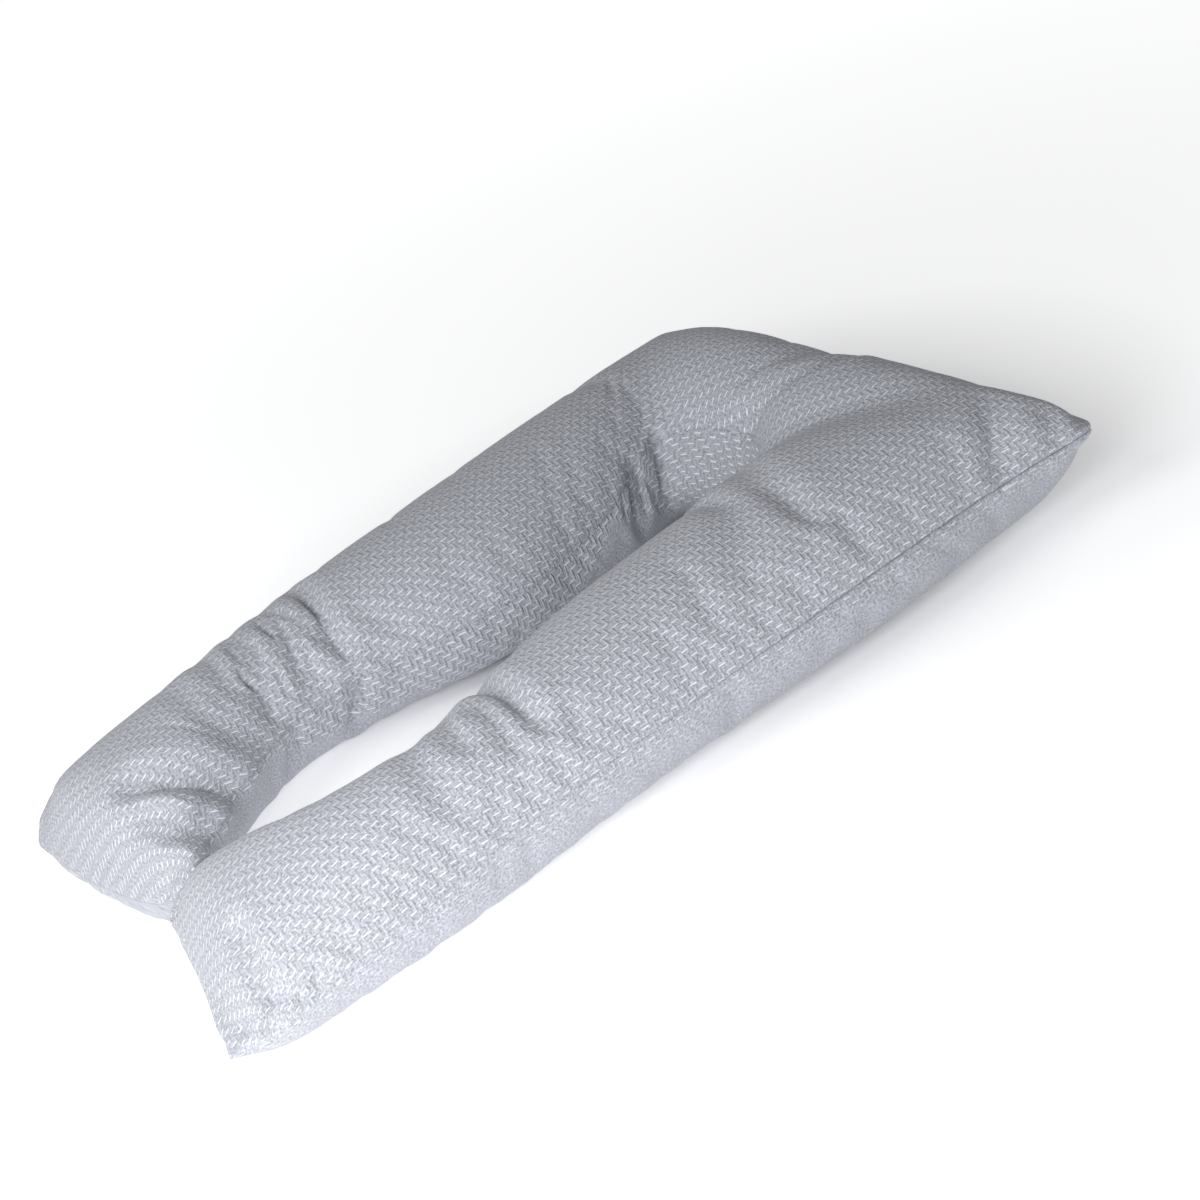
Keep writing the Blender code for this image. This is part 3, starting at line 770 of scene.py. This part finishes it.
def knitFinish(look):
    material, shader, start = newFinish("grey knit", look["roughness"])
    cloth = written(start, "cloth", "Vector")
    u, v, shows = split(start, cloth)
    flat = scaled(start, cloth, (1.0, 1.0, 0.0))
    wobble = noiseAt(start, flat, look["wobbleScale"], look["wobbleDetail"]) - noiseMiddle
    x = u / look["stitchWidth"] + wobble * look["wobble"]
    y = v / look["stitchHeight"] - wobble * look["wobble"]
    leg = look["legLength"]
    turned = x - y
    line = x + y - turned.maths("PINGPONG", turned, leg)
    off = line.maths("WRAP", line * 0.5, 1.0, -1.0)  # signed distance to the zigzag, in stitches
    isDash = turned % (2.0 * leg) > leg
    ends = (turned % leg - leg / 2).bump(leg / 2 + look["dashEnd"]) * look["endFirmness"]
    stroke = off.bump(look["dashHalf"]) * look["dashFirmness"]
    dash = stroke.maths("MINIMUM", stroke, 1.0) * isDash * ends.maths("MINIMUM", ends, 1.0) * shows
    patches = noiseAt(start, flat, look["patchScale"], look["patchDetail"])
    uneven = patches * look["patchContrast"] - look["patchFloor"]
    ribFirm = uneven * look["ribUneven"] + (1 - look["ribUneven"])
    rib = off.bump(look["ribHalf"]) * (1 - isDash) * shows * ribFirm
    creaseFirm = uneven * (1 - isDash * look["creaseLossAtDash"])
    crease = (off - look["creaseShift"]).bump(look["creaseHalf"]) * shows * creaseFirm
    stretched = scaled(start, flat, look["fleckStretch"])
    flecks = noiseAt(start, stretched, look["fleckScale"], look["fleckDetail"])
    low, high = look["flecks"]
    tint = mix(
        start, (flecks - noiseMiddle) * look["fleckContrast"] + noiseMiddle, (low,) * 3, (high,) * 3)
    ground = mix(start, 1.0, look["ground"], tint, "MULTIPLY")
    # Painted shadow: the creases are darkened in colour towards the shadow colour, on top of the shading
    # their relief gives.
    shaded = mix(start, crease * look["creaseShadowShare"], ground, look["shadow"])
    ribbed = mix(start, rib * look["ribShare"], shaded, look["ribColour"])
    dashed = mix(start, dash * look["dashShare"], ribbed, look["thread"])
    # Painted shade: a dark line along the seam, as if shade fell in its groove, as strong as the seam's
    # table gives.
    seam = written(start, "seamGap", "Fac").bump(look["seamHalf"]) * written(start, "seamShows", "Fac")
    seamShaded = mix(start, seam * look["seamShadeShare"], dashed, look["seamShadeColour"])
    seamShaded.feed(shader.inputs["Base Color"])
    height = rib * look["ribHeight"] + dash * look["dashHeight"] - crease * look["creaseDepth"]
    height = height + flecks * look["fleckHeight"]
    relief(start, height, look["reliefStrength"], look["relief"]).feed(shader.inputs["Normal"])
    shader.inputs["Sheen Weight"].default_value = look["sheen"]
    shader.inputs["Sheen Roughness"].default_value = look["sheenRoughness"]
    return material


# How strongly the knit shows on a panel, from the lengths across it.
def knitStrength(across, panel):
    places = np.linspace(0.0, len(ribs) - 1, len(across))
    marks, *columns = zip(*knitEnds)
    innerEnd, share, above, below = (np.interp(places, marks, column)[:, None] for column in columns)
    fromOuter = across[:, -1:] - across
    if panel > 0:
        return share + (1 - share) * np.clip(fromOuter / above, 0.0, 1.0)
    inner = knit["wallStrength"] * np.clip((innerEnd - across) / knit["wallFade"] + 1, 0.0, 1.0)
    outer = share * np.clip(1 - fromOuter / below, 0.0, 1.0)
    return np.where(across < fromOuter, inner, outer)


# Writes on the mesh what its finish reads: "cloth", each corner's place on the flat cloth and how
# strongly the knit shows there, "seamGap", each vertex's distance from the seam, and the seam's
# strength by it, how dark the painted shade along the seam is there.
def writeCloth(mesh, grids, flats):
    count = len(mesh.vertices)
    cloth = {panel: np.zeros((count, 3)) for panel in grids}
    gaps, strengths = np.zeros(count), np.zeros(count)
    for panel, (flat, gap, across) in flats.items():
        spots = grids[panel].ravel()
        cloth[panel][spots, :2] = flat.reshape(-1, 2)
        cloth[panel][spots, 2] = knitStrength(across, panel).ravel()
        gaps[spots] = gap.ravel()
    corners = np.empty(len(mesh.loops), np.int32)
    mesh.loops.foreach_get("vertex_index", corners)
    sides = np.empty(len(mesh.polygons), np.int32)
    mesh.polygons.foreach_get("loop_total", sides)
    isTop = np.repeat(readValues(mesh, "panel", np.int32), sides) > 0
    values = np.where(isTop[:, None], cloth[1][corners], cloth[-1][corners])
    layer = mesh.attributes.new("cloth", "FLOAT_VECTOR", "CORNER")
    layer.data.foreach_set("vector", values.astype(np.float32).ravel())
    inner, outer = seamStrengths(grids[1])
    for grid in grids.values():
        half = grid.shape[1] // 2
        strengths[grid[:, :half]] = inner[:, None]
        strengths[grid[:, half:]] = outer[:, None]
    for name, numbers in (("seamGap", gaps), ("seamShows", strengths)):
        layer = mesh.attributes.new(name, "FLOAT", "POINT")
        layer.data.foreach_set("value", numbers.astype(np.float32))


# How deep the groove of the inner and the outer seam is and how dark its painted shade, for each row of
# a grid.
def seamStrengths(grid):
    places = np.linspace(0.0, len(ribs) - 1, len(grid))
    marks, inner, outer = zip(*seamShows)
    return np.interp(places, marks, inner), np.interp(places, marks, outer)


def makePillow():
    level = pillow["smoothing"]
    reference = smoothed(pillowCage(), level)
    flats = flatCloth(readPoints(reference), panelGrids(reference, level))
    coarse = smoothed(pillowCage(), level - 1)
    pressFolds(coarse, level - 1, folds, 0)
    print("cover folded")
    inflate(coarse, level - 1, pillow["cloth"])
    print("cover filled")
    mesh = smoothed(coarse, 1)
    mesh.name = "pillow"
    pressFolds(mesh, level, creases, pillow["creaseFade"])
    grids = panelGrids(mesh, level)
    points, normals = readPoints(mesh), readNormals(mesh)
    for side, strengths in zip((0, -1), seamStrengths(grids[1])):
        path = points[grids[1][:, side]]
        press(points, normals, path, pillow["seamWidth"], pillow["seamDepth"], 0, strengths)
    low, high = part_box("pillow")
    middle = (points.min(axis=0) + points.max(axis=0)) / 2
    points[:, 0] += (low.x + high.x) / 2 - middle[0]
    points[:, 1] += (low.y + high.y) / 2 - middle[1]
    writePoints(mesh, points)
    writeCloth(mesh, grids, flats)
    mesh.shade_smooth()
    piece = bpy.data.objects.new("knitPillow", mesh)
    scene.collection.objects.link(piece)
    mesh.materials.clear()
    mesh.materials.append(knitFinish(knit))
    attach(piece, "root")
    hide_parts("pillow")
    print("pillow made:", len(mesh.polygons), "faces")
    return piece


pillowPiece = makePillow()

# The tag: a ribbon folded in half, its two ends caught in the seam. Metres, and degrees for the
# droop. weavePitch is in radians a metre.
tag = {
    "width": 0.024, "reach": 0.0080, "tuck": 0.0045, "droop": 28.0, "thickness": 0.00035,
    "loopRadius": 0.00042, "wave": 0.00018, "waveStart": 0.6,
    "acrossFaces": 24, "layerFaces": 10, "loopFaces": 6,
    "colour": (0.97, 0.97, 0.99), "shadow": (0.72, 0.72, 0.78), "roughness": 0.6,
    "weavePitch": 5200.0, "weaveShare": 0.25,
    "fleckScale": 1500.0, "fleckDetail": 2.0, "fleckShare": 0.35,
    "relief": 0.00012, "reliefStrength": 0.7,
}


def makeTag(sizes):
    low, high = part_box("side_tag")
    root = Vector((low.x, (low.y + high.y) / 2, high.z - sizes["thickness"] * 2))
    droop = math.radians(sizes["droop"])
    out = Vector((math.cos(droop), 0.0, -math.sin(droop)))
    up = Vector((math.sin(droop), 0.0, math.cos(droop)))
    radius = sizes["loopRadius"]
    straight = sizes["reach"] - radius
    layers = np.linspace(-sizes["tuck"], straight, sizes["layerFaces"] + 1)
    turns = np.linspace(-math.pi / 2, math.pi / 2, sizes["loopFaces"] + 1)[1:-1]
    profile = [(place, -radius) for place in layers]
    profile += [(straight + radius * math.cos(turn), radius * math.sin(turn)) for turn in turns]
    profile += [(place, radius) for place in layers[::-1]]
    form = bmesh.new()
    rows = []
    for number in range(sizes["acrossFaces"] + 1):
        share = number / sizes["acrossFaces"]
        wave = sizes["wave"] * math.sin(2 * math.pi * share + sizes["waveStart"])
        side = Vector((0.0, (share - 0.5) * sizes["width"], 0.0))
        rows.append([
            form.verts.new(root + side + out * place + up * (height + wave * max(place, 0) / straight))
            for place, height in profile
        ])
    for row, following in zip(rows, rows[1:]):
        for i in range(len(profile) - 1):
            form.faces.new((row[i], row[i + 1], following[i + 1], following[i]))
    bmesh.ops.recalc_face_normals(form, faces=form.faces[:])
    mesh = bpy.data.meshes.new("tag")
    form.to_mesh(mesh)
    form.free()
    holder = bpy.data.objects.new("ribbonTag", mesh)
    scene.collection.objects.link(holder)
    thick = holder.modifiers.new("Ribbon", "SOLIDIFY")
    thick.thickness = sizes["thickness"]
    thick.offset = 0.0
    bpy.context.view_layer.update()
    holder.data = finishedMesh(holder)
    holder.modifiers.clear()
    holder.data.shade_smooth()
    holder.data.materials.append(ribbonFinish(sizes))
    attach(holder, "root")
    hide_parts("side_tag")


def ribbonFinish(look):
    material, shader, start = newFinish("white ribbon", look["roughness"])
    place = start.node("ShaderNodeNewGeometry", {}, {}, "Position")
    along = split(start, place)[1]
    weave = along.maths("SINE", along * look["weavePitch"]) * 0.5 + 0.5
    flecks = noiseAt(start, place, look["fleckScale"], look["fleckDetail"])
    shade = weave * look["weaveShare"] + flecks * look["fleckShare"]
    mix(start, shade, look["colour"], look["shadow"]).feed(shader.inputs["Base Color"])
    bumps = relief(start, weave + flecks, look["reliefStrength"], look["relief"])
    bumps.feed(shader.inputs["Normal"])
    return material


makeTag(tag)
